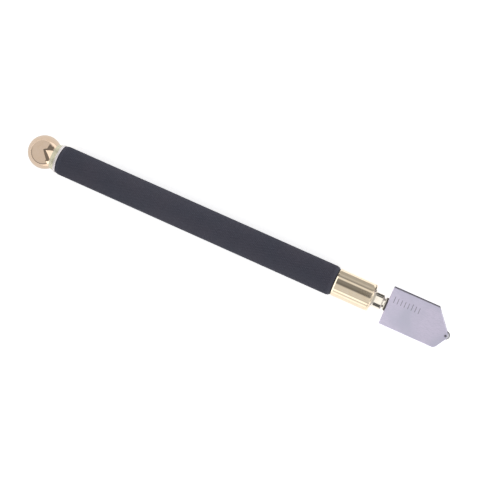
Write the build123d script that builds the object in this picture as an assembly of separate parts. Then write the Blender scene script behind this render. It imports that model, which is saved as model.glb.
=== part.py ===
from build123d import *
import os

# Oil-fed glass cutter, lying with its handle along X and its head plate flat.
# Millimetres. The stations are measured along the axis, forwards from the handle's rear face.
# The frame's origin is under the middle of the tool, on the surface that the ball touches.

# Driving dimensions
HANDLE_LENGTH = 114.5
HANDLE_RADIUS = 5.75
HANDLE_CHAMFER = 0.7
BALL_RADIUS = 6.5
BALL_CENTRE = -7.05
COLLAR_LENGTH = 2.8
COLLAR_REAR_RADIUS = 4.9
COLLAR_LIP_RADIUS = 5.65
COLLAR_LIP_LENGTH = 0.6
SEAL_THICKNESS = 0.3
FERRULE_LENGTH = 15.0
FERRULE_RADIUS = 5.35
SPIGOT_LENGTH = 9.3
NECK_LENGTH = 4.0
NECK_RADIUS = 2.92
PLATE_WIDTH = 14.6
PLATE_THICKNESS = 4.0
PLATE_TOP_CORNER = 18.1
PLATE_LOW_CORNER = 21.5
PLATE_TIP = 24.8
WHEEL_RADIUS = 1.6
WHEEL_WIDTH = 1.1
WHEEL_SETBACK = 0.65
WHEEL_OFFSET = -1.5

# Fits and travels
RUNNING = 0.05
HUB_RUNNING = 0.025
SNUG = 0.01
HEAD_TRAVEL = 0.5
HEAD_GAP = 0.6

# Reservoir and threads
RESERVOIR_RADIUS = 3.8
THREAD_RADIUS = 4.0
THREAD_ROOT = 3.4
THREAD_PITCH = 1.0
STUD_LENGTH = 5.0
MOUTH_DEPTH = 6.5
SEAL_RECESS_RADIUS = 4.55
SEAL_RECESS_DEPTH = 0.95
CAP_RING_SECTION = 0.9
CAP_RING_RADIUS = 4.0

# Stem and valve
STEM_RADIUS = 2.0
STEM_BORE = 0.6
SPIGOT_BORE = 2.9
WEB_HOLE = 1.2
PIN_RADIUS = 0.9
SPRING_RADIUS = 2.1
SPRING_WIRE = 0.25
SPRING_TURNS = 5.5
STEM_TENON_RADIUS = 1.4
STEM_TENON_LENGTH = 8.0
WASHER_THICKNESS = 0.45
WASHER_RADIUS = 2.65
FIBRE_RADIUS = 2.5
AXLE_RADIUS = 0.4

# Stations along the axis
SEAL_FRONT = HANDLE_LENGTH + SEAL_THICKNESS
SPIGOT_REAR = SEAL_FRONT - SPIGOT_LENGTH
FERRULE_FRONT = SEAL_FRONT + FERRULE_LENGTH
NECK_FRONT = FERRULE_FRONT + NECK_LENGTH
WASHER_REAR = NECK_FRONT + HEAD_GAP
WASHER_FRONT = WASHER_REAR + WASHER_THICKNESS
PLATE_REAR = WASHER_FRONT + 0.5
WHEEL_X = PLATE_REAR + PLATE_TIP - WHEEL_SETBACK
TOOL_REAR = BALL_CENTRE - BALL_RADIUS
TOOL_FRONT = WHEEL_X + WHEEL_RADIUS
RETAINER_REAR = SPIGOT_REAR + 0.7
RETAINER_FRONT = RETAINER_REAR + 3.4
PLUNGER_REAR = RETAINER_FRONT + 2.9
PLUNGER_HEAD = RETAINER_FRONT + 6.6
VALVE_WASHER_REAR = PLUNGER_HEAD + 1.3
VALVE_SEAT = VALVE_WASHER_REAR + 0.6
SEAT_FRONT = VALVE_SEAT + 0.8
STEM_REAR = SEAT_FRONT + HEAD_TRAVEL + 0.3
SCREW_X = STEM_REAR + 2.8
GLAND_POCKET = STEM_REAR + 5.5
GLAND_REAR = GLAND_POCKET + 1.1
GLAND_RADIUS = 3.5

# From the axis to the frame
TO_FRAME = Pos(-(TOOL_REAR + TOOL_FRONT) / 2, 0, BALL_RADIUS)


def turned(*points):
    """A solid turned about the axis, from its profile of (station, radius) points. Its seam is on the +Y side."""
    profile = make_face(Polyline(*points, close=True))
    return revolve(profile, Axis.X)


def rod(start, end, radius):
    return turned((start, 0), (start, radius), (end, radius), (end, 0))


def ring(start, end, inner, outer):
    return turned((start, inner), (start, outer), (end, outer), (end, inner))


def o_ring(station, radius, section):
    circle = Pos(station, radius) * Circle(section / 2)
    return revolve(circle, Axis.X)


def screw_thread(start, end, root, crest, pitch):
    """The ridge of a right-hand thread along the axis, cut off square at both ends."""
    path = Helix(pitch, end - start + 2 * pitch, root, center=(start - pitch, 0, 0), direction=(1, 0, 0))
    origin = path @ 0
    section = Plane(origin, x_dir=Vector(0, origin.Y, origin.Z).normalized(), z_dir=path % 0)
    half_root, half_crest, depth = 0.44 * pitch, 0.07 * pitch, crest - root
    outline = Polyline(
        (-0.1, -half_root), (0, -half_root), (depth, -half_crest),
        (depth, half_crest), (0, half_root), (-0.1, half_root), close=True,
    )
    ridge = sweep(section * make_face(outline), path=path, is_frenet=True)
    return ridge & rod(start, end, crest)


def end_cap():
    """The ball, with the threaded stud that closes the reservoir. The ball's poles are on the tool's axis."""
    ball = Pos(BALL_CENTRE, 0, 0) * Rot(0, 90, 0) * Rot(0, 0, 90) * Sphere(BALL_RADIUS)
    flat = rod(-COLLAR_LENGTH, 0, BALL_RADIUS)
    shank = rod(-COLLAR_LENGTH - 1, STUD_LENGTH, THREAD_ROOT)
    thread = screw_thread(SEAL_RECESS_DEPTH + 0.1, STUD_LENGTH - 0.3, THREAD_ROOT, THREAD_RADIUS, THREAD_PITCH)
    return ball - flat + shank + thread


def rear_collar():
    """A flared ring, with a narrow lip against the handle."""
    lip = -COLLAR_LIP_LENGTH
    return turned(
        (-COLLAR_LENGTH, THREAD_ROOT + SNUG), (-COLLAR_LENGTH, COLLAR_REAR_RADIUS),
        (-COLLAR_LENGTH + 0.8, COLLAR_REAR_RADIUS + 0.05), (lip - 0.5, COLLAR_LIP_RADIUS - 0.35),
        (lip, COLLAR_LIP_RADIUS - 0.1), (lip + 0.15, COLLAR_LIP_RADIUS),
        (-0.15, COLLAR_LIP_RADIUS), (0, COLLAR_LIP_RADIUS - 0.15), (0, THREAD_ROOT + SNUG),
    )


def cap_o_ring():
    return o_ring(CAP_RING_SECTION / 2, CAP_RING_RADIUS, CAP_RING_SECTION)


def handle_tube():
    """The grip, bored through as the oil reservoir, with a wider mouth at each end."""
    outside = turned(
        (0, 0), (0, HANDLE_RADIUS - HANDLE_CHAMFER), (HANDLE_CHAMFER, HANDLE_RADIUS),
        (HANDLE_LENGTH - HANDLE_CHAMFER, HANDLE_RADIUS),
        (HANDLE_LENGTH, HANDLE_RADIUS - HANDLE_CHAMFER), (HANDLE_LENGTH, 0),
    )
    mouth = THREAD_RADIUS + RUNNING
    bore = rod(0, HANDLE_LENGTH, RESERVOIR_RADIUS)
    rear_mouth = rod(0, MOUTH_DEPTH, mouth)
    recess = rod(0, SEAL_RECESS_DEPTH, SEAL_RECESS_RADIUS)
    front_mouth = rod(SPIGOT_REAR - 0.2, HANDLE_LENGTH, mouth)
    return outside - bore - rear_mouth - recess - front_mouth


def ferrule_seal():
    return ring(HANDLE_LENGTH, SEAL_FRONT, THREAD_RADIUS + SNUG, HANDLE_RADIUS - HANDLE_CHAMFER)


def ferrule():
    """The front collar: its spigot holds the valve, its nose holds the stem and the gland nut."""
    outside = turned(
        (SPIGOT_REAR, 0), (SPIGOT_REAR, THREAD_RADIUS - 0.3), (SPIGOT_REAR + 0.3, THREAD_RADIUS),
        (SEAL_FRONT, THREAD_RADIUS), (SEAL_FRONT, FERRULE_RADIUS - 0.3), (SEAL_FRONT + 0.35, FERRULE_RADIUS),
        (FERRULE_FRONT - 0.5, FERRULE_RADIUS), (FERRULE_FRONT, FERRULE_RADIUS - 0.5), (FERRULE_FRONT, 0),
    )
    valve_chamber = rod(SPIGOT_REAR, VALVE_SEAT, SPIGOT_BORE)
    oil_hole = rod(VALVE_SEAT, SEAT_FRONT, WEB_HOLE)
    stem_bore = rod(SEAT_FRONT, GLAND_POCKET, STEM_RADIUS + RUNNING)
    seal_pocket = rod(GLAND_POCKET, GLAND_REAR, STEM_RADIUS + 1.1)
    gland_bore = rod(GLAND_REAR, FERRULE_FRONT, GLAND_RADIUS)
    screw_hole = Pos(SCREW_X, 0, 0) * Cylinder(1.25 + SNUG, 6, align=(Align.CENTER, Align.CENTER, Align.MAX))
    return outside - valve_chamber - oil_hole - stem_bore - seal_pocket - gland_bore - screw_hole


def gland_nut():
    """The polished neck: it screws into the ferrule and presses the stem's seal."""
    inner = STEM_RADIUS + RUNNING
    return turned(
        (GLAND_REAR, inner), (GLAND_REAR, GLAND_RADIUS - SNUG), (FERRULE_FRONT, GLAND_RADIUS - SNUG),
        (FERRULE_FRONT, GLAND_RADIUS + 0.2), (FERRULE_FRONT + 0.3, GLAND_RADIUS + 0.1),
        (FERRULE_FRONT + 0.5, NECK_RADIUS + 0.2), (FERRULE_FRONT + 0.8, NECK_RADIUS),
        (NECK_FRONT - 0.35, NECK_RADIUS), (NECK_FRONT, NECK_RADIUS - 0.35), (NECK_FRONT, inner),
    )


def stem_o_ring():
    return o_ring(GLAND_POCKET + 0.55, STEM_RADIUS + RUNNING + 0.5, 1.0)


def spring_retainer():
    """A threaded ring behind the spring, with the oil's hole and a driver slot."""
    body = ring(RETAINER_REAR, RETAINER_FRONT, WEB_HOLE, SPIGOT_BORE - SNUG)
    slot = Pos(RETAINER_REAR, 0, 0) * Box(1.6, 2 * SPIGOT_BORE, 0.8)
    return body - slot


def valve_spring():
    start = RETAINER_FRONT + SPRING_WIRE
    length = PLUNGER_HEAD - RETAINER_FRONT - 2 * SPRING_WIRE
    path = Helix(length / SPRING_TURNS, length, SPRING_RADIUS, center=(start, 0, 0), direction=(1, 0, 0))
    section = Plane(path @ 0, z_dir=path % 0) * Circle(SPRING_WIRE)
    return sweep(section, path=path, is_frenet=True)


def valve_plunger():
    """A mushroom: guide in the spring, head behind the rubber, pin through the seat to the stem."""
    return turned(
        (PLUNGER_REAR, 0), (PLUNGER_REAR, 1.0), (PLUNGER_REAR + 0.3, 1.3), (PLUNGER_HEAD, 1.3),
        (PLUNGER_HEAD, 2.5), (VALVE_WASHER_REAR, 2.5), (VALVE_WASHER_REAR, PIN_RADIUS),
        (STEM_REAR, PIN_RADIUS), (STEM_REAR, 0),
    )


def valve_washer():
    return ring(VALVE_WASHER_REAR, VALVE_SEAT, PIN_RADIUS + SNUG, 2.45)


def set_screw():
    """A small socket screw from the underside; its tip stands in the stem's pocket."""
    tip_reach, thread_reach, outer_reach = 1.6, 2.2, 5.0
    tip = Cylinder(0.75, thread_reach - tip_reach, align=(Align.CENTER, Align.CENTER, Align.MAX))
    body = Cylinder(1.25, outer_reach - thread_reach, align=(Align.CENTER, Align.CENTER, Align.MAX))
    socket = extrude(RegularPolygon(0.65, 6, major_radius=False), 1.2)
    screw = Pos(0, 0, -tip_reach) * tip + Pos(0, 0, -thread_reach) * body
    return Pos(SCREW_X, 0, 0) * (screw - Pos(0, 0, -outer_reach) * socket)


def head_stem():
    """A drilled post with a tenon for the plate, a pocket for the screw and a slot for the oil."""
    post = rod(STEM_REAR, PLATE_REAR, STEM_RADIUS)
    tenon = rod(PLATE_REAR, PLATE_REAR + STEM_TENON_LENGTH, STEM_TENON_RADIUS)
    bore = rod(STEM_REAR, PLATE_REAR + STEM_TENON_LENGTH, STEM_BORE)
    oil_slot = Pos(STEM_REAR, 0, 0) * Box(1.2, 2 * STEM_RADIUS + 1, 0.6)
    pocket_start, pocket_end = SCREW_X - 0.8, SCREW_X + 0.75 + HEAD_TRAVEL + 0.15
    pocket = Pos((pocket_start + pocket_end) / 2, 0, -1.4) * Box(
        pocket_end - pocket_start, 2.2, 2, align=(Align.CENTER, Align.CENTER, Align.MAX)
    )
    return post + tenon - bore - oil_slot - pocket - pin_shape()


def pin_shape():
    """The pin lies beside the stem's bore and stops short of the upper face."""
    reach = PLATE_THICKNESS - 0.8
    pin = Cylinder(0.4, reach, align=(Align.CENTER, Align.CENTER, Align.MIN))
    return Pos(PLATE_REAR + 4, STEM_TENON_RADIUS - 0.25, -PLATE_THICKNESS / 2) * pin


def thrust_washer():
    return ring(WASHER_REAR, WASHER_FRONT, STEM_RADIUS + SNUG, WASHER_RADIUS)


def fibre_washer():
    return ring(WASHER_FRONT, PLATE_REAR, STEM_RADIUS + SNUG, FIBRE_RADIUS)


def head_plate():
    """A five-sided plate, slotted at its tip for the wheel and drilled for the stem and the oil."""
    half = PLATE_WIDTH / 2
    tip_top, tip_low = WHEEL_OFFSET + 0.75, WHEEL_OFFSET - 0.9
    outline = make_face(
        Polyline(
            (0, half), (PLATE_TOP_CORNER, half), (PLATE_TIP, tip_top), (PLATE_TIP, tip_low),
            (PLATE_LOW_CORNER + 0.9, -half + 0.7), (PLATE_LOW_CORNER, -half), (0, -half), close=True,
        )
    )
    tip_corners = outline.vertices().sort_by(Axis.X)[-2:]
    outline = fillet(tip_corners, 0.35)
    plate = Pos(PLATE_REAR, 0, -PLATE_THICKNESS / 2) * extrude(outline, PLATE_THICKNESS)
    edges = plate.edges().filter_by(GeomType.LINE).filter_by(Axis.Z, reverse=True)
    plate = chamfer(edges, 0.15)
    wheel_room = WHEEL_RADIUS + 0.4
    slot_width = WHEEL_WIDTH + 2 * RUNNING
    pocket = Cylinder(wheel_room, slot_width) + Pos(wheel_room, 0, 0) * Box(
        2 * wheel_room, 2 * wheel_room, slot_width
    )
    pocket = Pos(WHEEL_X, WHEEL_OFFSET, 0) * pocket
    axle_hole = Pos(WHEEL_X, WHEEL_OFFSET, 0) * Cylinder(AXLE_RADIUS + SNUG, PLATE_THICKNESS)
    stem_hole = rod(PLATE_REAR, PLATE_REAR + STEM_TENON_LENGTH, STEM_TENON_RADIUS + SNUG)
    oil_channel = rod(PLATE_REAR + STEM_TENON_LENGTH, WHEEL_X, STEM_BORE)
    return plate - pocket - axle_hole - stem_hole - oil_channel - pin_shape()


def oil_wick():
    return rod(PLATE_REAR + 0.6, WHEEL_X - 1.5, STEM_BORE - SNUG)


def wheel_axle():
    return Pos(WHEEL_X, WHEEL_OFFSET, 0) * Cylinder(AXLE_RADIUS, PLATE_THICKNESS - 0.2)


def cutting_wheel():
    """A carbide wheel: two flat sides and a blunt V-shaped rim."""
    half, hub = WHEEL_WIDTH / 2, AXLE_RADIUS + HUB_RUNNING
    shoulder = WHEEL_RADIUS - 0.41 * half
    profile = make_face(
        Plane.XZ * Polyline(
            (hub, -half), (shoulder, -half), (WHEEL_RADIUS, 0), (shoulder, half), (hub, half), close=True
        )
    )
    return Pos(WHEEL_X, WHEEL_OFFSET, 0) * revolve(profile, Axis.Z)


PIECES = {
    "end_cap": end_cap,
    "rear_collar": rear_collar,
    "cap_o_ring": cap_o_ring,
    "handle_tube": handle_tube,
    "ferrule_seal": ferrule_seal,
    "ferrule": ferrule,
    "gland_nut": gland_nut,
    "stem_o_ring": stem_o_ring,
    "spring_retainer": spring_retainer,
    "valve_spring": valve_spring,
    "valve_plunger": valve_plunger,
    "valve_washer": valve_washer,
    "set_screw": set_screw,
    "head_stem": head_stem,
    "stem_pin": pin_shape,
    "thrust_washer": thrust_washer,
    "fibre_washer": fibre_washer,
    "head_plate": head_plate,
    "oil_wick": oil_wick,
    "wheel_axle": wheel_axle,
    "cutting_wheel": cutting_wheel,
}

os.makedirs("parts", exist_ok=True)
for name, make in PIECES.items():
    export_step(TO_FRAME * make(), f"parts/{name}.step")
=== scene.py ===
import math

import bmesh
import bpy
from mathutils import Matrix, Vector


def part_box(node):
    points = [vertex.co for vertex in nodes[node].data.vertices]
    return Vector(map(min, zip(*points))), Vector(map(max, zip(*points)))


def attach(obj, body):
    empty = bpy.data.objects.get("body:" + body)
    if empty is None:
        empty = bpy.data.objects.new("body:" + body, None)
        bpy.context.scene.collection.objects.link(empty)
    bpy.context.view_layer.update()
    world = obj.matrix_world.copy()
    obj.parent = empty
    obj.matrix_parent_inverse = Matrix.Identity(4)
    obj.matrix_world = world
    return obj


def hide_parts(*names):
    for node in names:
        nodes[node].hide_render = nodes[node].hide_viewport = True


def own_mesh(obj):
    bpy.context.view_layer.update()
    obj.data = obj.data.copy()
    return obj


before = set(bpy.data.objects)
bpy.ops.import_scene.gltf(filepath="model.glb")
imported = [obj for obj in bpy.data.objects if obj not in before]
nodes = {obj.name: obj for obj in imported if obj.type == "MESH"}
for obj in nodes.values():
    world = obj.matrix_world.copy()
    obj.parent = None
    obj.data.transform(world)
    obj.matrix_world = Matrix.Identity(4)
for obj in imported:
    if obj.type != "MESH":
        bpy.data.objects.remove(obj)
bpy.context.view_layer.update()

# An oil-fed glass cutter lies along X on a white floor, its head plate flat and its wheel towards +X.
# Lengths are in millimetres, except in CAD boxes, meshes and the camera's place, which are in metres.
# A station is a distance along X, counted forwards from the handle's rear face.

MM = 0.001
handle_low, handle_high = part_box("handle_tube")
REAR_X = handle_low.x
AXIS_Z = (handle_low.z + handle_high.z) / 2


def station(x):
    """The station of a place along X in metres."""
    return (x - REAR_X) / MM


def span(node):
    """The rear and front stations of a CAD node on the tool's axis, and its radius."""
    low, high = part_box(node)
    return station(low.x), station(high.x), high.y / MM


def upright_size(node):
    """The middle of an upright CAD node, as x and y in metres, then its radius and half its height."""
    low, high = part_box(node)
    middle = (low.x + high.x) / 2, (low.y + high.y) / 2
    return middle, (high.x - low.x) / 2 / MM, (high.z - low.z) / 2 / MM


# ---------------------------------------------------------------- mesh helpers


def finish_mesh(name, points, faces, sharp=30.0):
    """An object from points in metres, smooth except across edges sharper than the given angle."""
    mesh = bpy.data.meshes.new(name)
    mesh.from_pydata(points, [], faces)
    mesh.update()
    shade(mesh, sharp)
    obj = bpy.data.objects.new(name, mesh)
    bpy.context.scene.collection.objects.link(obj)
    return obj


def shade(mesh, sharp):
    """Shades the mesh smooth, except across edges sharper than the given angle."""
    mesh.shade_smooth()
    mesh.set_sharp_from_angle(angle=math.radians(sharp))


def rounded(corners, steps=3, closed=True):
    """The outline through (x, y, radius) corners, each rounded by its own radius."""
    outline = []
    count = len(corners)
    for i, (x, y, radius) in enumerate(corners):
        at_end = not closed and i in (0, count - 1)
        if radius <= 0 or at_end:
            outline.append((x, y))
            continue
        here = Vector((x, y))
        before = (Vector(corners[i - 1][:2]) - here).normalized()
        after = (Vector(corners[(i + 1) % count][:2]) - here).normalized()
        half = before.angle(after) / 2
        centre = here + (before + after).normalized() * radius / math.sin(half)
        start = here + before * radius / math.tan(half) - centre
        end = here + after * radius / math.tan(half) - centre
        first = math.atan2(start.y, start.x)
        turn = (math.atan2(end.y, end.x) - first + math.pi) % (2 * math.pi) - math.pi
        for step in range(steps + 1):
            angle = first + turn * step / steps
            outline.append((centre.x + radius * math.cos(angle), centre.y + radius * math.sin(angle)))
    return outline


def bridge(faces, first, second):
    """Faces between two rings of points. A ring of one point is a pole."""
    count = max(len(first), len(second))
    for k in range(count):
        n = (k + 1) % count
        if len(first) == 1:
            faces.append((first[0], second[k], second[n]))
        elif len(second) == 1:
            faces.append((first[k], second[0], first[n]))
        else:
            faces.append((first[k], second[k], second[n], first[n]))


POLE = 1e-6


def turn_rings(profile, points, segments):
    """Adds one ring of points to the list for each (station, radius) of the profile, round the X axis."""
    rings = []
    for x, radius in profile:
        count = 1 if radius < POLE else segments
        start = len(points)
        for k in range(count):
            angle = 2 * math.pi * k / count
            points.append(Vector((x, radius * math.sin(angle), radius * math.cos(angle))))
        rings.append(list(range(start, start + count)))
    return rings


def in_frame(points, place):
    """Points from millimetres about a turning axis to metres in the frame."""
    return [place @ (point * MM) for point in points]


def along_tool():
    """Places a turned piece on the tool's axis, with its stations counted from the handle's rear face."""
    return Matrix.Translation((REAR_X, 0, AXIS_Z))


def upright(x, y):
    """Stands a turned piece upright at x, y, with its station 0 at the height of the tool's axis."""
    return Matrix.Translation((x, y, AXIS_Z)) @ Matrix.Rotation(-math.pi / 2, 4, "Y")


HOLD = 0.05
LONG_RUN = 5 * HOLD


def held(profile, closed):
    """The profile with a point near each end of its long runs, which then shade evenly up to their edges."""
    outline = []
    for i, (x, y) in enumerate(profile):
        outline.append((x, y))
        if i == len(profile) - 1 and not closed:
            break
        after = profile[(i + 1) % len(profile)]
        run = math.dist((x, y), after)
        if run > LONG_RUN:
            for share in (HOLD / run, 1 - HOLD / run):
                outline.append((x + (after[0] - x) * share, y + (after[1] - y) * share))
    return outline


def lathe(name, profile, segments=128, place=None, closed=True, sharp=30.0):
    """A turned piece. The profile runs forwards along the outside and back along the inside."""
    points, faces = [], []
    rings = turn_rings(held(profile, closed), points, segments)
    for first, second in zip(rings, rings[1:]):
        bridge(faces, first, second)
    if closed:
        bridge(faces, rings[-1], rings[0])
    return finish_mesh(name, in_frame(points, place or along_tool()), faces, sharp)


def join(target, *others):
    """Adds the other objects' meshes to the target's mesh and removes them."""
    built = bmesh.new()
    for obj in (target, *others):
        built.from_mesh(obj.data)
    built.to_mesh(target.data)
    built.free()
    for obj in others:
        bpy.data.objects.remove(obj)
    return target


MERGE_DISTANCE = 1e-6


def combine(target, operation, tools, sharp=30.0):
    """Joins the tools' solids to the target, or cuts them out of it, and removes them."""
    for tool in tools:
        modifier = target.modifiers.new("combine", "BOOLEAN")
        modifier.operation = operation
        modifier.solver = "EXACT"
        modifier.object = tool
        graph = bpy.context.evaluated_depsgraph_get()
        mesh = bpy.data.meshes.new_from_object(target.evaluated_get(graph))
        target.modifiers.clear()
        target.data = mesh
        bpy.data.objects.remove(tool)
    clean = bmesh.new()
    clean.from_mesh(target.data)
    bmesh.ops.remove_doubles(clean, verts=clean.verts, dist=MERGE_DISTANCE)
    clean.to_mesh(target.data)
    clean.free()
    target.data.name = target.name
    shade(target.data, sharp)
    return target


def block(name, low, high):
    """A box between two corners, in metres, for cutting."""
    points = [(x, y, z) for x in (low[0], high[0]) for y in (low[1], high[1]) for z in (low[2], high[2])]
    faces = [(0, 1, 3, 2), (4, 6, 7, 5), (0, 4, 5, 1), (2, 3, 7, 6), (0, 2, 6, 4), (1, 5, 7, 3)]
    return finish_mesh(name, points, faces)


def place(piece, body, slot, material, *replaced):
    """Gives a piece its body, its material and the CAD nodes that it replaces."""
    piece.data.materials.clear()
    piece.data.materials.append(material)
    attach(piece, body)
    if replaced:
        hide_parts(*replaced)
    return piece


# ---------------------------------------------------------------- node helpers


def add_node(tree, kind, inputs=None, **settings):
    """A node with its settings, and with each input set to a value or linked to a socket."""
    node = tree.nodes.new(kind)
    for key, value in settings.items():
        setattr(node, key, value)
    for key, value in (inputs or {}).items():
        if isinstance(value, bpy.types.NodeSocket):
            tree.links.new(value, node.inputs[key])
        else:
            node.inputs[key].default_value = value
    return node


def ramp(tree, factor, stops):
    """A colour ramp with (position, colour) stops."""
    node = add_node(tree, "ShaderNodeValToRGB", {"Fac": factor})
    elements = node.color_ramp.elements
    while len(elements) < len(stops):
        elements.new(1.0)
    for element, (position, colour) in zip(elements, stops):
        element.position = position
        element.color = (*colour, 1)
    return node.outputs["Color"]


def math_node(tree, operation, first, second):
    """The result of an operation on two numbers or sockets."""
    return add_node(tree, "ShaderNodeMath", {0: first, 1: second}, operation=operation).outputs[0]


def remap(tree, value, from_low, from_high, to_low=0.0, to_high=1.0):
    """A number that goes from one limit to the other as the value crosses its own range."""
    inputs = {"Value": value, "From Min": from_low, "From Max": from_high}
    inputs.update({"To Min": to_low, "To Max": to_high})
    return add_node(tree, "ShaderNodeMapRange", inputs).outputs["Result"]


class Paint:
    """A material with a Principled shader, and the nodes that give it detail."""

    def __init__(self, name, colour, metallic, roughness, **sockets):
        self.material = bpy.data.materials.new(name)
        self.material.use_nodes = True
        self.tree = self.material.node_tree
        self.shader = self.tree.nodes["Principled BSDF"]
        self.colour = colour
        self.shader.inputs["Base Color"].default_value = (*colour, 1)
        self.shader.inputs["Metallic"].default_value = metallic
        self.shader.inputs["Roughness"].default_value = roughness
        for key, value in sockets.items():
            self.shader.inputs[key.replace("_", " ")].default_value = value
        self.material.diffuse_color = (*colour, 1)

    def noise(self, scale, detail=2.0, roughness=0.5, stretch=(1, 1, 1), distortion=0.0):
        """Noise over the piece itself, so it stays with the piece when it moves. Scale is per metre."""
        where = add_node(self.tree, "ShaderNodeTexCoord").outputs["Object"]
        mapping = add_node(self.tree, "ShaderNodeMapping", {"Vector": where, "Scale": stretch})
        inputs = {"Vector": mapping.outputs["Vector"], "Scale": scale, "Detail": detail}
        inputs.update({"Roughness": roughness, "Distortion": distortion})
        return add_node(self.tree, "ShaderNodeTexNoise", inputs).outputs["Fac"]

    def attribute(self, name):
        """A number that the mesh carries."""
        return add_node(self.tree, "ShaderNodeAttribute", attribute_name=name).outputs["Fac"]

    def between(self, factor, low, high, start=0.3, end=0.7):
        """A number that goes from low to high as the factor goes from start to end."""
        return remap(self.tree, factor, start, end, low, high)

    def tint(self, factor, other, start=0.3, end=0.7, base=None):
        """The paint's colour, going over to another one as the factor goes from start to end."""
        share = self.between(factor, 0.0, 1.0, start, end)
        node = add_node(self.tree, "ShaderNodeMix", {0: share}, data_type="RGBA")
        for socket, value in ((node.inputs[6], base or self.colour), (node.inputs[7], other)):
            if isinstance(value, bpy.types.NodeSocket):
                self.tree.links.new(value, socket)
            else:
                socket.default_value = (*value, 1)
        return node.outputs[2]

    def bump(self, height, distance):
        """A bump of that many millimetres."""
        inputs = {"Height": height, "Distance": distance * MM}
        return add_node(self.tree, "ShaderNodeBump", inputs).outputs["Normal"]

    def set(self, **sockets):
        """Links sockets of the shader to node outputs."""
        for key, value in sockets.items():
            self.tree.links.new(value, self.shader.inputs[key.replace("_", " ")])
        return self.material


# ---------------------------------------------------------------- materials


def grip_material():
    """Matt black anodising: paler on the knurl's worn crests, uneven in patches, faintly pitted."""
    paint = Paint("grip_black", (0.064, 0.067, 0.094), 0.0, 0.62, IOR=1.45, Specular_IOR_Level=0.25)
    patches = paint.noise(90, 3)
    grain = paint.noise(2600, 2)
    worn = math_node(paint.tree, "MULTIPLY", paint.attribute("crest"), grain)
    colour = paint.tint(patches, (0.075, 0.072, 0.098))
    colour = paint.tint(worn, (0.115, 0.112, 0.140), 0.35, 0.95, base=colour)
    roughness = paint.between(worn, 0.66, 0.50, 0.2, 0.8)
    return paint.set(Base_Color=colour, Roughness=roughness, Normal=paint.bump(grain, 0.012))


def polished_material(name, colour, roughness):
    """Polished plating with a hardly visible polishing haze."""
    paint = Paint(name, colour, 1.0, roughness)
    haze = paint.noise(420, 4, 0.6)
    deeper = tuple(c * f for c, f in zip(colour, (0.97, 0.94, 0.88)))
    rough = paint.between(haze, roughness * 0.8, roughness * 1.5)
    return paint.set(Base_Color=paint.tint(haze, deeper), Roughness=rough)


def turned_material():
    """Gold plate over fine turning marks that run round the axis, with the polished lip painted paler as a
    painted highlight.
    """
    paint = Paint("gold_turned", (0.86, 0.815, 0.63), 1.0, 0.24)
    lines = paint.noise(1.0, 1, 0.5, stretch=(5200, 12, 12))
    haze = paint.noise(260, 2)
    colour = paint.tint(lines, (0.72, 0.68, 0.51), 0.35, 0.65)
    colour = paint.tint(haze, (0.79, 0.75, 0.57), 0.40, 0.80, base=colour)
    # Painted highlight: the polished lip is painted a paler, nearly white colour.
    colour = paint.tint(paint.attribute("polished"), (0.97, 0.92, 0.93), 0.0, 1.0, base=colour)
    rough = paint.between(haze, 0.18, 0.30)
    return paint.set(Base_Color=colour, Roughness=rough, Normal=paint.bump(lines, 0.002))


def plate_material():
    """Satin steel: a fine even grain, a soft cloudy tone, sides darkened as painted shade, and darker etched
    marks.
    """
    paint = Paint("steel_satin", (0.775, 0.72, 0.875), 1.0, 0.38)
    grain = paint.noise(1.0, 3, 0.6, stretch=(900, 5200, 3000))
    cloud = paint.noise(95, 2, 0.45, distortion=0.4)
    colour = paint.tint(cloud, (0.61, 0.61, 0.73), 0.38, 0.68)
    colour = paint.tint(grain, (0.66, 0.625, 0.765), 0.35, 0.75, base=colour)
    # Painted shade: the plate's sides are painted darker.
    colour = paint.tint(paint.attribute("side"), (0.44, 0.42, 0.50), 0.0, 1.0, base=colour)
    colour = paint.tint(paint.attribute("etched"), (0.30, 0.285, 0.345), 0.0, 1.0, base=colour)
    rough = paint.between(grain, 0.34, 0.46)
    return paint.set(Base_Color=colour, Roughness=rough, Normal=paint.bump(grain, 0.004))


def metal_material(name, colour, roughness, worn, scale):
    """A plain metal with a fine grain and patches of another tone."""
    paint = Paint(name, colour, 1.0, roughness)
    grain = paint.noise(scale, 3, 0.6)
    patches = paint.noise(300, 2)
    tone = paint.tint(patches, worn)
    rough = paint.between(grain, roughness * 0.75, roughness * 1.35)
    return paint.set(Base_Color=tone, Roughness=rough, Normal=paint.bump(grain, 0.004))


def carbide_material():
    """Fine-ground carbide: bright flat sides, and a rim painted nearly black as painted shade."""
    paint = Paint("carbide_ground", (0.86, 0.85, 0.88), 1.0, 0.22)
    grain = paint.noise(6000, 3, 0.6)
    colour = paint.tint(grain, (0.74, 0.73, 0.77))
    # Painted shade: the wheel's rim is painted nearly black.
    colour = paint.tint(paint.attribute("rim_shade"), (0.07, 0.07, 0.08), 0.0, 1.0, base=colour)
    rough = paint.between(grain, 0.18, 0.30)
    return paint.set(Base_Color=colour, Roughness=rough, Normal=paint.bump(grain, 0.003))


def soft_material(name, colour, other, roughness, scale, depth, stretch=(1, 1, 1)):
    """Rubber, fibre or felt: rough, with its own grain in tone and surface."""
    paint = Paint(name, colour, 0.0, roughness)
    grain = paint.noise(scale, 4, 0.65, stretch=stretch)
    tone = paint.tint(grain, other)
    rough = paint.between(grain, roughness, min(1.0, roughness + 0.1))
    return paint.set(Base_Color=tone, Roughness=rough, Normal=paint.bump(grain, depth))


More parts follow.
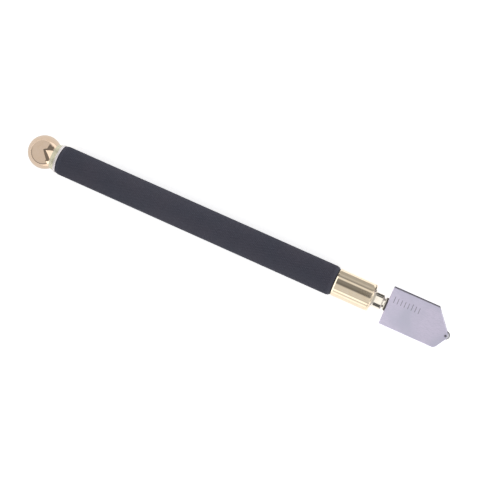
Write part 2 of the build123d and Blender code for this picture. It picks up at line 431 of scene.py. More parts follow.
GRIP = grip_material()
BALL_GOLD = polished_material("gold_ball", (0.88, 0.69, 0.54), 0.06)
FERRULE_GOLD = polished_material("gold_ferrule", (0.90, 0.775, 0.605), 0.06)
TURNED_GOLD = turned_material()
NICKEL = polished_material("nickel_polished", (0.84, 0.79, 0.71), 0.07)
STEEL = plate_material()
AXLE_STEEL = metal_material("steel_axle", (0.13, 0.125, 0.15), 0.35, (0.20, 0.19, 0.21), 4000)
CARBIDE = carbide_material()
SPRING_STEEL = metal_material("steel_spring", (0.42, 0.42, 0.44), 0.25, (0.34, 0.33, 0.35), 3000)
BRASS = metal_material("brass_turned", (0.72, 0.55, 0.27), 0.28, (0.60, 0.43, 0.20), 2500)
RUBBER = soft_material("rubber_seal", (0.018, 0.018, 0.019), (0.030, 0.030, 0.031), 0.62, 1500, 0.01)
FIBRE = soft_material("fibre_washer", (0.050, 0.042, 0.038), (0.085, 0.070, 0.060), 0.7, 3200, 0.01)
FELT = soft_material("felt_oiled", (0.70, 0.62, 0.45), (0.55, 0.46, 0.30), 0.88, 2600, 0.05, (0.3, 1, 1))


# ---------------------------------------------------------------- rear end: ball, collar, seal

THREAD_PITCH = 1.0
THREAD_TURN_STEPS = 48
THREAD_FADE_STEPS = 14
THREAD_SUNK = 0.06
THREAD_LEAST = 0.02
THREAD_FOOT = 0.42
THREAD_FLAT = 0.07
THREAD_CREST = 4.0
THREAD_START = 1.25
THREAD_SHORT = 0.55
SHANK = 3.4
SHANK_CHAMFER = 0.35
BALL_STEPS = 72


def thread_ridge(name, start, end, root, crest):
    """A right-hand helical ridge whose depth fades out at both ends. Its foot is sunk into the shank."""
    sunk = root - THREAD_SUNK
    steps = round((end - start) / THREAD_PITCH * THREAD_TURN_STEPS)
    points, faces, rings = [], [], []
    for step in range(steps + 1):
        angle = 2 * math.pi * step / THREAD_TURN_STEPS
        x = start + THREAD_PITCH * step / THREAD_TURN_STEPS
        fade = min(1.0, step / THREAD_FADE_STEPS, (steps - step) / THREAD_FADE_STEPS)
        top = sunk + THREAD_LEAST + (crest - sunk - THREAD_LEAST) * fade
        section = ((-THREAD_FOOT, sunk), (-THREAD_FLAT, top), (THREAD_FLAT, top), (THREAD_FOOT, sunk))
        rings.append(list(range(len(points), len(points) + 4)))
        for offset, radius in section:
            spot = (x + offset * THREAD_PITCH, -radius * math.sin(angle), radius * math.cos(angle))
            points.append(Vector(spot))
    for first, second in zip(rings, rings[1:]):
        for k in range(4):
            n = (k + 1) % 4
            faces.append((first[k], second[k], second[n], first[n]))
    faces.append(tuple(rings[0]))
    faces.append(tuple(reversed(rings[-1])))
    return finish_mesh(name, in_frame(points, along_tool()), faces)


def build_end_cap():
    """The ball with its threaded stud, in one skin."""
    rear, front, radius = span("end_cap")
    centre = rear + radius
    collar_rear = span("rear_collar")[0]
    last = math.acos((collar_rear - centre) / radius)
    arc = []
    for step in range(BALL_STEPS + 1):
        angle = math.pi + (last - math.pi) * step / BALL_STEPS
        arc.append((centre + radius * math.cos(angle), radius * math.sin(angle) if step else 0.0))
    tip = [(front - SHANK_CHAMFER, SHANK), (front, SHANK - SHANK_CHAMFER), (front, 0.0)]
    ball = lathe("ball_end_cap", [*arc, (collar_rear, SHANK), *tip], segments=160, closed=False)
    ridge = thread_ridge("stud_thread", THREAD_START, front - THREAD_SHORT, SHANK, THREAD_CREST)
    return place(combine(ball, "UNION", [ridge]), "cap", "polished_gold", BALL_GOLD, "end_cap")


COLLAR_BORE = 3.45
COLLAR_LIP = 0.95
GROOVES = 9
GROOVED_LENGTH = 2.2
GROOVE_DEPTH = 0.035
GROOVE_SHAPE = ((0.0, 0.0), (0.55, 0.0), (0.7, GROOVE_DEPTH), (0.9, GROOVE_DEPTH))


def build_collar():
    """The flared ring behind the handle, with turned grooves and a polished lip that carries a painted
    highlight.
    """
    rear, front, radius = span("rear_collar")
    flare = [
        (rear, radius - 0.75), (rear + 0.8, radius - 0.70),
        (front - 1.1, radius - 0.35), (front - 0.6, radius - 0.1),
    ]
    profile = []
    for (x0, r0), (x1, r1) in zip(flare, flare[1:]):
        count = max(2, round(GROOVES * (x1 - x0) / GROOVED_LENGTH))
        for k in range(count):
            for share, depth in GROOVE_SHAPE:
                along = (k + share) / count
                profile.append((x0 + (x1 - x0) * along, r0 + (r1 - r0) * along - depth))
    lip = rounded(
        [
            (front - 0.6, radius - 0.1, 0), (front - 0.45, radius, 0.08), (front - 0.12, radius, 0.08),
            (front, radius - 0.15, 0), (front, COLLAR_BORE, 0), (rear, COLLAR_BORE, 0),
        ],
        closed=False,
    )
    collar = lathe("cap_collar", profile + lip, segments=144)
    # Marks the lip, which the material paints paler as a painted highlight.
    edge = REAR_X + (front - COLLAR_LIP) * MM
    polished = collar.data.attributes.new("polished", "FLOAT", "POINT")
    polished.data.foreach_set("value", [float(point.co.x > edge) for point in collar.data.vertices])
    return place(collar, "cap", "turned_gold", TURNED_GOLD, "rear_collar")


SEAL_SIDES = 24


def build_seal_ring():
    """The cap's O-ring."""
    rear, front, radius = span("cap_o_ring")
    section = (front - rear) / 2
    middle = (rear + front) / 2
    circle = []
    for k in range(SEAL_SIDES):
        angle = 2 * math.pi * k / SEAL_SIDES
        circle.append((middle - section * math.cos(angle), radius - section + section * math.sin(angle)))
    ring = lathe("cap_seal_ring", circle, segments=96, sharp=60)
    return place(ring, "cap_seal", "seal_rubber", RUBBER, "cap_o_ring")


# ---------------------------------------------------------------- handle

KNURL_COLUMNS = 52
KNURL_ROWS = 188
KNURL_DEPTH = 0.16
KNURL_MARGIN = 0.9
CREST_SHARE = 0.34

# The handle's bore, its wider mouths, the seal's recess and its end faces: radii, depths and a station.
BORE = 3.8
MOUTH = 4.05
MOUTH_DEPTH = 6.5
MOUTH_CHAMFER = 0.15
RECESS = 4.55
RECESS_DEPTH = 0.95
FRONT_MOUTH = 105.3
END_FACE = 5.05


def build_handle():
    """A bored tube with a diamond knurl: four-sided flat-topped points between crossing grooves."""
    rear, front, crest = span("handle_tube")
    valley = crest - KNURL_DEPTH
    start, end = rear + KNURL_MARGIN, front - KNURL_MARGIN
    pitch = (end - start) / KNURL_ROWS
    turn = 2 * math.pi / KNURL_COLUMNS
    points, heights, faces = [], [], []

    def spot(x, angle, radius, height=0.0):
        points.append(Vector((x, radius * math.sin(angle), radius * math.cos(angle))))
        heights.append(height)
        return len(points) - 1

    crossings = []
    for k in range(KNURL_ROWS + 1):
        x, shift = start + k * pitch, 0.5 * (k % 2)
        crossings.append([spot(x, (j + shift) * turn, valley) for j in range(KNURL_COLUMNS)])
    for k in range(1, KNURL_ROWS):
        x = start + k * pitch
        odd = k % 2
        for j in range(KNURL_COLUMNS):
            centre = (j + 0.5 + 0.5 * odd) * turn
            m = (j + odd) % KNURL_COLUMNS
            after = (j + 1) % KNURL_COLUMNS
            outer = (crossings[k - 1][m], crossings[k][j], crossings[k + 1][m], crossings[k][after])
            along, across = CREST_SHARE * pitch, CREST_SHARE * turn / 2
            inner = (
                spot(x - along, centre, crest, 1.0), spot(x, centre - across, crest, 1.0),
                spot(x + along, centre, crest, 1.0), spot(x, centre + across, crest, 1.0),
            )
            faces.append(inner)
            for i in range(4):
                n = (i + 1) % 4
                faces.append((outer[i], outer[n], inner[n], inner[i]))
    ends = []
    for k, inward in ((0, 1), (KNURL_ROWS, KNURL_ROWS - 1)):
        x = start + k * pitch
        ring = []
        for j in range(KNURL_COLUMNS):
            middle = spot(x, (j + 0.5) * turn, valley)
            ring += [crossings[k][j], middle]
            after = crossings[k][(j + 1) % KNURL_COLUMNS]
            half = (crossings[k][j], crossings[inward][j], after, middle)
            faces.append(half if k == 0 else tuple(reversed(half)))
        ends.append(ring)
    bevel = valley - END_FACE
    profile = rounded(
        [
            (front - bevel, valley, 0.1), (front, END_FACE, 0.08), (front, MOUTH + MOUTH_CHAMFER, 0),
            (front - MOUTH_CHAMFER, MOUTH, 0), (FRONT_MOUTH, MOUTH, 0), (FRONT_MOUTH, BORE, 0),
            (rear + MOUTH_DEPTH, BORE, 0), (rear + MOUTH_DEPTH, MOUTH, 0),
            (rear + RECESS_DEPTH, MOUTH, 0), (rear + RECESS_DEPTH, RECESS, 0),
            (rear, RECESS, 0), (rear, END_FACE, 0.08), (rear + bevel, valley, 0.1),
        ]
    )
    rings = turn_rings(profile, points, 2 * KNURL_COLUMNS)
    heights += [0.0] * (len(points) - len(heights))
    loop = [ends[1], *rings, ends[0]]
    for first, second in zip(loop, loop[1:]):
        bridge(faces, first, second)
    handle = finish_mesh("knurled_handle", in_frame(points, along_tool()), faces, sharp=25)
    crest_height = handle.data.attributes.new("crest", "FLOAT", "POINT")
    crest_height.data.foreach_set("value", heights)
    return place(handle, "handle", "black_grip", GRIP, "handle_tube")


# ---------------------------------------------------------------- ferrule and neck


# The ferrule's spigot and bores: radii, then where the seal's pocket and the valve seat lie, and its chamfer.
SPIGOT = 4.0
SPIGOT_CHAMFER = 0.3
VALVE_CHAMBER = 2.9
OIL_HOLE = 1.2
STEM_BORE = 2.05
SEAL_POCKET = 3.1
GLAND_BORE = 3.5
SEAL_POCKET_DEPTH = 1.1
SEAT_REAR = 3.3
SEAT_FRONT = 4.1
FRONT_CHAMFER = 0.5

# The set screw's hole: radii beyond the screw's own, and how far below the tool's axis its sink lies.
SCREW_CLEARANCE = 0.01
SINK_START = 4.95
SINK_END = 5.2
SINK_EXTRA = 0.2
CUTTER_END = 9.0
CUTTER_RADIUS = 1.5


def build_ferrule():
    """The gold front collar with its spigot, its stepped bore and a countersunk hole for the set screw."""
    spigot_rear, front, radius = span("ferrule")
    rear = span("ferrule_seal")[1]
    gland_rear = span("gland_nut")[0]
    pocket = gland_rear - SEAL_POCKET_DEPTH
    seat, seat_front = rear + SEAT_REAR, rear + SEAT_FRONT
    profile = rounded(
        [
            (spigot_rear, SPIGOT - SPIGOT_CHAMFER, 0), (spigot_rear + SPIGOT_CHAMFER, SPIGOT, 0),
            (rear, SPIGOT, 0), (rear, radius - 0.18, 0.03), (rear + 0.06, radius - 0.12, 0),
            (rear + 0.5, radius, 0.3),
            (front - FRONT_CHAMFER, radius, 0.10), (front, radius - FRONT_CHAMFER, 0.10),
            (front, GLAND_BORE, 0), (gland_rear, GLAND_BORE, 0),
            (gland_rear, SEAL_POCKET, 0), (pocket, SEAL_POCKET, 0),
            (pocket, STEM_BORE, 0), (seat_front, STEM_BORE, 0),
            (seat_front, OIL_HOLE, 0), (seat, OIL_HOLE, 0),
            (seat, VALVE_CHAMBER, 0), (spigot_rear, VALVE_CHAMBER, 0),
        ]
    )
    body = lathe("ferrule_gold", profile, segments=144)
    (screw_x, _), screw_radius, _ = upright_size("set_screw")
    hole_radius = screw_radius + SCREW_CLEARANCE
    hole = [
        (-CUTTER_END, 0.0), (-CUTTER_END, CUTTER_RADIUS), (-SINK_END, screw_radius + SINK_EXTRA),
        (-SINK_START, hole_radius), (0.0, hole_radius), (0.0, 0.0),
    ]
    cutter = lathe("screw_hole", hole, segments=48, place=upright(screw_x, 0), closed=False)
    return place(combine(body, "DIFFERENCE", [cutter]), "handle", "polished_gold", FERRULE_GOLD, "ferrule")


# The spring: wire radius and sides, turns and steps in each, closed turns at each end and the turns that
# lead out of them, and the pitch of the closed turns in wire radii.
SPRING_WIRE = 0.25
WIRE_SIDES = 12
SPRING_TURNS = 5.5
SPRING_STEPS = 36
SPRING_CLOSED = 0.8
SPRING_LEAD = 0.3
CLOSED_PITCH = 2.08


def build_spring():
    """The valve's coil spring, built at rest; in the tool it shortens towards its retainer as the head is
    pressed in.
    """
    rear, front, outer = span("valve_spring")
    coil = outer - SPRING_WIRE
    steps = round(SPRING_TURNS * SPRING_STEPS)
    pitches = []
    for step in range(steps):
        turn = (step + 0.5) / SPRING_STEPS
        from_end = min(turn, SPRING_TURNS - turn)
        pitches.append(min(1.0, max(0.0, (from_end - SPRING_CLOSED) / SPRING_LEAD)))
    closed = CLOSED_PITCH * SPRING_WIRE / SPRING_STEPS
    spare = (front - rear - 2 * SPRING_WIRE - closed * steps) / sum(pitches)
    x = rear + SPRING_WIRE
    forwards = Vector((1, 0, 0))
    points, faces, rings = [], [], []
    for step in range(steps + 1):
        angle = 2 * math.pi * step / SPRING_STEPS
        outwards = Vector((0, math.sin(angle), math.cos(angle)))
        centre = Vector((x, 0, 0)) + outwards * coil
        ring = []
        for k in range(WIRE_SIDES):
            side = 2 * math.pi * k / WIRE_SIDES
            ring.append(len(points))
            points.append(centre + (outwards * math.cos(side) + forwards * math.sin(side)) * SPRING_WIRE)
        rings.append(ring)
        if step < steps:
            x += closed + spare * pitches[step]
    for first, second in zip(rings, rings[1:]):
        bridge(faces, second, first)
    faces += [tuple(reversed(rings[0])), tuple(rings[-1])]
    spring = finish_mesh("valve_coil_spring", in_frame(points, along_tool()), faces, sharp=40)
    place(spring, "handle", "spring_steel", SPRING_STEEL, "valve_spring")
    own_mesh(spring)


NECK = 2.92
NUT_THREAD = 3.49
STEM_WASHER_HOLE = 2.01
SPIGOT_WASHER_HOLE = 4.01


def build_gland_nut():
    """The polished neck, which screws into the ferrule behind a flange."""
    rear, front, outer = span("gland_nut")
    ferrule_front = span("ferrule")[1]
    profile = rounded(
        [
            (rear, STEM_BORE, 0), (rear, NUT_THREAD, 0),
            (ferrule_front, NUT_THREAD, 0), (ferrule_front, outer, 0),
            (ferrule_front + 0.3, outer - 0.1, 0.08), (ferrule_front + 0.5, NECK + 0.2, 0.08),
            (ferrule_front + 0.8, NECK, 0.15), (front - 0.35, NECK, 0.12), (front, NECK - 0.35, 0.06),
            (front, STEM_BORE + 0.1, 0), (front - 0.1, STEM_BORE, 0),
        ]
    )
    nut = lathe("neck_nut", profile, segments=120)
    return place(nut, "handle", "polished_nickel", NICKEL, "gland_nut")


def build_washer(name, node, body, slot, material, hole, edge):
    """A flat ring with a hole of that radius and outer edges rounded by that much."""
    rear, front, radius = span(node)
    profile = rounded([(rear, hole, 0), (rear, radius, edge), (front, radius, edge), (front, hole, 0)])
    return place(lathe(name, profile, segments=112), body, slot, material, node)


# ---------------------------------------------------------------- head: plate, axle, wheel

# The plate: how far its tip and corners lie from its rear edge, its bores, and the bevel of its edges.
PLATE_REACH = 24.8
TOP_CORNER = 18.1
LOW_CORNER = 21.5
TENON_HOLE = 1.41
TENON_DEPTH = 8.0
CHANNEL = 0.6
EDGE_BEVEL = 0.15
MITRE_LIMIT = 0.3

# The wheel's slot, the axle's hole with its sinks, and how far the cutters stand out of the plate.
WHEEL_ROOM = 2.0
SLOT_HALF = 0.6
SLOT_STEPS = 32
SLOT_OUT = 4
AXLE_CLEARANCE = 0.01
AXLE_SINK = 0.26
AXLE_SINK_DEPTH = 0.14
AXLE_OUT = 0.1
BORE_OUT = 1


def extrude(name, outline, low, high, bevel=0.0):
    """A flat solid with small bevels along both outlines. The outline runs anticlockwise, seen from above."""
    count = len(outline)
    points, faces, rings = [], [], []
    levels = [(low, outline), (high, outline)]
    if bevel:
        inset = inset_outline(outline, bevel)
        levels = [(low, inset), (low + bevel * MM, outline), (high - bevel * MM, outline), (high, inset)]
    for z, ring in levels:
        rings.append(list(range(len(points), len(points) + count)))
        points += [(x * MM + REAR_X, y * MM, z) for x, y in ring]
    faces.append(tuple(reversed(rings[0])))
    faces.append(tuple(rings[-1]))
    for first, second in zip(rings, rings[1:]):
        for k in range(count):
            n = (k + 1) % count
            faces.append((first[k], first[n], second[n], second[k]))
    return finish_mesh(name, points, faces, sharp=20)


def inset_outline(outline, distance):
    """The outline moved inwards by that distance."""
    result = []
    count = len(outline)
    for i, (x, y) in enumerate(outline):
        here = Vector((x, y))
        before = (here - Vector(outline[i - 1])).normalized()
        after = (Vector(outline[(i + 1) % count]) - here).normalized()
        first = Vector((-before.y, before.x))
        second = Vector((-after.y, after.x))
        middle = (first + second).normalized()
        result.append(tuple(here + middle * distance / max(MITRE_LIMIT, middle.dot(first))))
    return result


def build_plate():
    """The five-sided steel plate, with the wheel's slot, its bores and a row of etched ticks."""
    low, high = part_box("head_plate")
    rear, half = station(low.x), high.y / MM
    (wheel_x, wheel_y), _, _ = upright_size("cutting_wheel")
    axle = upright_size("wheel_axle")[1]
    wheel_station, side = station(wheel_x), wheel_y / MM
    outline = rounded(
        [
            (rear, -half, 0.22), (rear + LOW_CORNER, -half, 0.3),
            (rear + LOW_CORNER + 0.9, -half + 0.7, 0.3),
            (rear + PLATE_REACH, side - 0.9, 0.35), (rear + PLATE_REACH, side + 0.75, 0.35),
            (rear + TOP_CORNER, half, 0.22), (rear, half, 0.22),
        ],
        steps=4,
    )
    plate = extrude("head_plate_steel", outline, low.z, high.z, EDGE_BEVEL)
    room = [(wheel_station + SLOT_OUT, side - WHEEL_ROOM), (wheel_station + SLOT_OUT, side + WHEEL_ROOM)]
    for step in range(SLOT_STEPS + 1):
        angle = math.pi / 2 + math.pi * step / SLOT_STEPS
        room.append((wheel_station + WHEEL_ROOM * math.cos(angle), side + WHEEL_ROOM * math.sin(angle)))
    slot = extrude("wheel_slot", room, AXIS_Z - SLOT_HALF * MM, AXIS_Z + SLOT_HALF * MM)
    deep = (high.z - AXIS_Z) / MM
    sink = [
        (-deep - AXLE_OUT, 0), (-deep - AXLE_OUT, axle + AXLE_SINK),
        (-deep + AXLE_SINK_DEPTH, axle + AXLE_CLEARANCE), (deep - AXLE_SINK_DEPTH, axle + AXLE_CLEARANCE),
        (deep + AXLE_OUT, axle + AXLE_SINK), (deep + AXLE_OUT, 0),
    ]
    axle_hole = lathe("axle_hole", sink, segments=48, place=upright(wheel_x, wheel_y), closed=False)
    bore = [
        (rear - BORE_OUT, 0), (rear - BORE_OUT, TENON_HOLE), (rear + TENON_DEPTH, TENON_HOLE),
        (rear + TENON_DEPTH, CHANNEL), (wheel_station, CHANNEL), (wheel_station, 0),
    ]
    stem_hole = lathe("stem_hole", bore, segments=64, closed=False)
    combine(plate, "DIFFERENCE", [slot, axle_hole, stem_hole, tick_marks(rear, high.z)], sharp=20)
    mark_plate_faces(plate, high.z)
    return place(plate, "head", "satin_steel", STEEL, "head_plate")


# The etched ticks: each one's distance from the plate's rear edge, and where it ends across the plate.
TICK_DEPTH = 0.04
TICK_WIDTH = 0.22
TICK_START = 1.9
TICKS = ((2.0, 4.4), (3.4, 4.1), (4.8, 4.1), (6.2, 4.1), (7.6, 4.1), (9.0, 4.4), (10.4, 4.1), (11.8, 4.1))

# A face counts as a side, or as the floor of a tick, by how far its normal leans up.
SIDE_LEAN = 0.3
FLOOR_LEAN = 0.9


def tick_marks(rear, top):
    """The cutter for a row of plain etched lines across one half of the plate's top face."""
    marks = []
    for offset, reach in TICKS:
        x = REAR_X + (rear + offset) * MM
        marks.append(
            block(
                "tick", (x - TICK_WIDTH * MM / 2, TICK_START * MM, top - TICK_DEPTH * MM),
                (x + TICK_WIDTH * MM / 2, reach * MM, top + MM),
            )
        )
    return join(*marks)


def mark_plate_faces(plate, top):
    """Tells the material which faces are the plate's sides, which it darkens as painted shade, and which are
    the floors of the etched lines.
    """
    deepest, shallowest = top - 2 * TICK_DEPTH * MM, top - 0.5 * TICK_DEPTH * MM
    side, etched = [], []
    for face in plate.data.polygons:
        side.append(float(abs(face.normal.z) < SIDE_LEAN))
        etched.append(float(deepest < face.center.z < shallowest and face.normal.z > FLOOR_LEAN))
    for name, values in (("side", side), ("etched", etched)):
        layer = plate.data.attributes.new(name, "FLOAT", "FACE")
        layer.data.foreach_set("value", values)


def build_axle():
    """The wheel's axle, a pin with rounded ends."""
    middle, radius, half = upright_size("wheel_axle")
    corners = [(-half, 0, 0), (-half, radius, 0.08), (half, radius, 0.08), (half, 0, 0)]
    profile = rounded(corners, closed=False)
    axle = lathe("wheel_axle_pin", profile, segments=48, place=upright(*middle), closed=False)
    return place(axle, "head", "axle_steel", AXLE_STEEL, "wheel_axle")


WHEEL_HOLE = 0.425
HOLE_CHAMFER = 0.05
BEVEL_SLOPE = 0.41
# How far inside the bevels' shoulder the rim's painted shade begins.
RIM_SHADE_INSIDE = 0.06


def build_wheel():
    """A small wheel with two ground bevels that meet in its cutting edge."""
    middle, radius, half = upright_size("cutting_wheel")
    shoulder = radius - BEVEL_SLOPE * half
    profile = rounded(
        [
            (-half, WHEEL_HOLE + HOLE_CHAMFER, 0), (-half, shoulder - 0.12, 0), (-half, shoulder, 0.03),
            (0, radius, 0),
            (half, shoulder, 0.03), (half, shoulder - 0.12, 0), (half, WHEEL_HOLE + HOLE_CHAMFER, 0),
            (half - HOLE_CHAMFER, WHEEL_HOLE, 0), (-half + HOLE_CHAMFER, WHEEL_HOLE, 0),
        ]
    )
    wheel = lathe("cutting_wheel_carbide", profile, segments=96, place=upright(*middle), sharp=12)
    axis = Vector(middle)
    # Marks the points near the rim, which the material paints dark as painted shade.
    rim_shade = wheel.data.attributes.new("rim_shade", "FLOAT", "POINT")
    reach = (shoulder - RIM_SHADE_INSIDE) * MM
    in_rim_shade = [float((point.co.xy - axis).length > reach) for point in wheel.data.vertices]
    rim_shade.data.foreach_set("value", in_rim_shade)
    return place(wheel, "wheel", "carbide", CARBIDE, "cutting_wheel")


build_end_cap()
build_collar()
build_seal_ring()
build_handle()
build_ferrule()
build_spring()
build_gland_nut()
build_washer("ferrule_rubber", "ferrule_seal", "handle", "seal_rubber", RUBBER, SPIGOT_WASHER_HOLE, 0.06)
build_washer("neck_thrust_washer", "thrust_washer", "head", "polished_nickel", NICKEL, STEM_WASHER_HOLE, 0.12)
build_washer("neck_fibre_washer", "fibre_washer", "head", "fibre", FIBRE, STEM_WASHER_HOLE, 0.05)
build_plate()
build_axle()
build_wheel()

# The small and inner CAD nodes keep their shape.
INSIDE = {
    "stem_o_ring": RUBBER,
    "spring_retainer": BRASS,
    "valve_plunger": BRASS,
    "valve_washer": RUBBER,
    "set_screw": SPRING_STEEL,
    "head_stem": NICKEL,
    "stem_pin": SPRING_STEEL,
    "oil_wick": FELT,
}
for name, material in INSIDE.items():
    for slot in nodes[name].material_slots:
        slot.material = material


# ---------------------------------------------------------------- studio

FLOOR_RINGS = (0, 0.05, 0.4, 4.0)
FLOOR_GLOW = 0.60

# The room's brightness, and that of its walls by height, as (sine of the angle above the floor, brightness).
ROOM = 0.70
WALLS = ((0.0, 0.66), (0.05, 0.66), (0.08, 0.22), (0.14, 0.22), (0.19, 0.66), (0.5, ROOM))
WALL_FADE = (-0.25, 0.1)


def build_floor():
    """A white disc, with its rings in metres, that glows a little so that it stays white."""
    points, faces = [], []
    rings = turn_rings([(0, radius) for radius in FLOOR_RINGS], points, segments=96)
    for first, second in zip(rings, rings[1:]):
        bridge(faces, first, second)
    stand = Matrix.Rotation(-math.pi / 2, 4, "Y")
    floor = finish_mesh("studio_floor", [stand @ p for p in points], [tuple(reversed(f)) for f in faces])
    paint = Paint("floor_white", (0.90, 0.90, 0.90), 0.0, 0.9, Specular_IOR_Level=0.0)
    paint.shader.inputs["Emission Color"].default_value = (1, 1, 1, 1)
    paint.shader.inputs["Emission Strength"].default_value = FLOOR_GLOW
    floor.data.materials.append(paint.material)


def build_world():
    """An even pale room with a thin darker line low on the walls towards -Y. The camera sees plain white."""
    world = bpy.data.worlds.new("studio")
    bpy.context.scene.world = world
    world.use_nodes = True
    tree = world.node_tree
    tree.nodes.clear()
    towards = add_node(tree, "ShaderNodeTexCoord").outputs["Generated"]
    split = add_node(tree, "ShaderNodeSeparateXYZ", {0: towards}).outputs
    walls = ramp(tree, split["Z"], [(z, (level,) * 3) for z, level in WALLS])
    inputs = {0: remap(tree, split["Y"], *WALL_FADE), 6: walls, 7: (ROOM, ROOM, ROOM, 1)}
    mix = add_node(tree, "ShaderNodeMix", inputs, data_type="RGBA")
    studio = add_node(tree, "ShaderNodeBackground", {"Color": mix.outputs[2], "Strength": 1.0})
    plain = add_node(tree, "ShaderNodeBackground", {"Color": (1, 1, 1, 1), "Strength": 1.0})
    seen = add_node(tree, "ShaderNodeLightPath").outputs["Is Camera Ray"]
    both = add_node(tree, "ShaderNodeMixShader", {0: seen, 1: studio.outputs[0], 2: plain.outputs[0]})
    add_node(tree, "ShaderNodeOutputWorld", {"Surface": both.outputs[0]})


def reflector(name, points, faces):
    """A card that only glossy surfaces see: it lights nothing else and isn't in the picture."""
    card = finish_mesh(name, points, faces)
    card.visible_camera = False
    card.visible_diffuse = False
    card.visible_shadow = False
    card.visible_transmission = False
    return card


def glow(name):
    """A material that only shines. It returns the material and its emission node."""
    material = bpy.data.materials.new(name)
    material.use_nodes = True
    tree = material.node_tree
    tree.nodes.clear()
    emission = add_node(tree, "ShaderNodeEmission")
    add_node(tree, "ShaderNodeOutputMaterial", {"Surface": emission.outputs[0]})
    return material, emission


ARCH_RADIUS = 80.0
ARCH_STEP = 3
ARCH_STRENGTH = 2.0

# Soft boxes stand in arches round the tool's axis: (degrees from overhead towards -Y, brightness).
FERRULE_ARCH = (
    (-90, 0.56), (-79.7, 0.58), (-71.9, 0.46), (-67.1, 0.33), (-62.2, 0.33), (-59.3, 0.48), (-56.4, 0.80),
    (-52.5, 0.92), (-48.7, 0.92), (-44.8, 0.82), (-40.9, 0.36), (-38, 0.25), (-24.5, 0.26), (-13.8, 0.20),
    (-6.1, 0.17), (-1.3, 0.33), (3.6, 0.66), (9.4, 0.75), (26.8, 0.72), (35.5, 0.80), (38.4, 0.66),
    (42.3, 0.64), (45.2, 0.95), (51, 1.45), (57.8, 1.50), (62.7, 0.80), (68.5, 0.80), (74.4, 1.10),
    (81.2, 1.35), (90, 1.35),
)
NECK_ARCH = (
    (-90, 0.10), (-76.8, 0.12), (-68.9, 0.35), (-65, 1.25), (31.3, 1.25), (37.2, 0.30), (43.1, 0.10),
    (90, 0.12),
)
EDGE_ARCH = ((-90, 0.20), (-64, 0.20), (-60, 1.80), (90, 1.80))

# Each arch: its name, its rear and front along X, and its bands.
ARCHES = (
    ("edge", -25.0, 8.0, EDGE_ARCH), ("ferrule", 8.0, 53.0, FERRULE_ARCH), ("neck", 53.0, 61.0, NECK_ARCH),
)

# Flat cards: name, height, brightness and outline. The ball mirrors the window and its dark frame, and the
# other metal mirrors sheets of paper that lie on the floor round the tool, and dark sheets that stand for the
# shade beside the plate and the neck.
CARDS = (
    ("window", 30.0, 1.25, ((-73.4, 9.4), (-35.1, -20.3), (-3.4, 46.8))),
    (
        "window_side", 30.0, 0.20,
        ((-80.4, 9.0), (-59.4, -20.1), (-61.4, -28.2), (-26.3, -47.7), (-35.1, -20.3), (-73.4, 9.4)),
    ),
    (
        "window_back", 30.0, 0.20,
        (
            (-80.4, 9.0), (-73.4, 9.4), (-3.4, 46.8), (10.0, 60.5),
            (35.0, 130.0), (-50.0, 130.0), (-70.8, 18.0),
        ),
    ),
    ("paper_rear", 0.05, 0.81, ((-400, -400), (-66, -400), (-66, 400), (-400, 400))),
    ("paper_side", 0.05, 0.47, ((5, 15.5), (54, 15.5), (54, 400), (5, 400))),
    ("paper_front", 0.05, 1.10, ((5, -400), (54, -400), (54, -1), (5, -1))),
    # Dark sheets beside the plate and the neck: painted shade, which the metal mirrors in place of the shaded
    # floor.
    ("plate_side_shade", 0.05, 0.20, ((61, 7.4), (84, 7.4), (84, 60), (61, 60))),
    ("neck_side_shade", 0.05, 0.10, ((55, 7.5), (60, 7.5), (60, 90), (55, 90))),
)


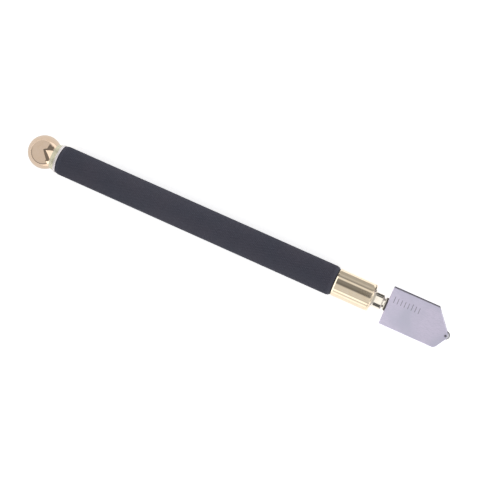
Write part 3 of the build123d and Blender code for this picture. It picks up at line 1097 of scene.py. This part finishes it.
def build_arch(name, rear, front, bands):
    """A half-tube over the tool that glows in bands along it."""
    points, faces = [], []
    count = 180 // ARCH_STEP
    for k in range(count + 1):
        angle = math.radians(-90 + k * ARCH_STEP)
        for x in (rear, front):
            at = Vector((x, -ARCH_RADIUS * math.sin(angle), ARCH_RADIUS * math.cos(angle)))
            points.append(at * MM + Vector((0, 0, AXIS_Z)))
        if k:
            faces.append((2 * k - 2, 2 * k - 1, 2 * k + 1, 2 * k))
    arch = reflector(f"arch_{name}", points, faces)
    material, emission = glow(f"arch_{name}")
    tree = material.node_tree
    where = add_node(tree, "ShaderNodeTexCoord").outputs["Object"]
    split = add_node(tree, "ShaderNodeSeparateXYZ", {0: where}).outputs
    height = math_node(tree, "SUBTRACT", split["Z"], AXIS_Z)
    angle = math_node(tree, "ARCTAN2", math_node(tree, "MULTIPLY", split["Y"], -1.0), height)
    share = remap(tree, angle, -math.pi / 2, math.pi / 2)
    stops = [((degrees + 90) / 180, (level / ARCH_STRENGTH,) * 3) for degrees, level in bands]
    tree.links.new(ramp(tree, share, stops), emission.inputs["Color"])
    emission.inputs["Strength"].default_value = ARCH_STRENGTH
    arch.data.materials.append(material)


def build_card(name, height, brightness, outline):
    """A flat card that glows evenly."""
    points = [(x * MM, y * MM, height * MM) for x, y in outline]
    card = reflector(f"card_{name}", points, [tuple(range(len(points)))])
    material, emission = glow(f"card_{name}")
    emission.inputs["Color"].default_value = (1, 1, 1, 1)
    emission.inputs["Strength"].default_value = brightness
    card.data.materials.append(material)


CAMERA_AT = Vector((0.0751, 0.0843, 0.5188))
CAMERA_AIM = Vector((0.0019, -0.0003, 0.0065))
CAMERA_UP = Vector((-0.4034, 0.9103, -0.0927))
CAMERA_LENS = 105
CAMERA_SENSOR = 36


def build_camera():
    """The camera at the photograph's viewing angle."""
    data = bpy.data.cameras.new("camera")
    data.lens = CAMERA_LENS
    data.sensor_width = CAMERA_SENSOR
    data.clip_start = 0.01
    data.clip_end = 20
    camera = bpy.data.objects.new("camera", data)
    bpy.context.scene.collection.objects.link(camera)
    back = (CAMERA_AT - CAMERA_AIM).normalized()
    right = CAMERA_UP.cross(back).normalized()
    up = back.cross(right)
    turn = Matrix((right, up, back)).transposed().to_4x4()
    camera.matrix_world = Matrix.Translation(CAMERA_AT) @ turn
    bpy.context.scene.camera = camera


build_floor()
build_world()
for arch in ARCHES:
    build_arch(*arch)
for card in CARDS:
    build_card(*card)
build_camera()
bpy.context.scene.view_settings.view_transform = "Standard"
bpy.context.scene.view_settings.look = "None"
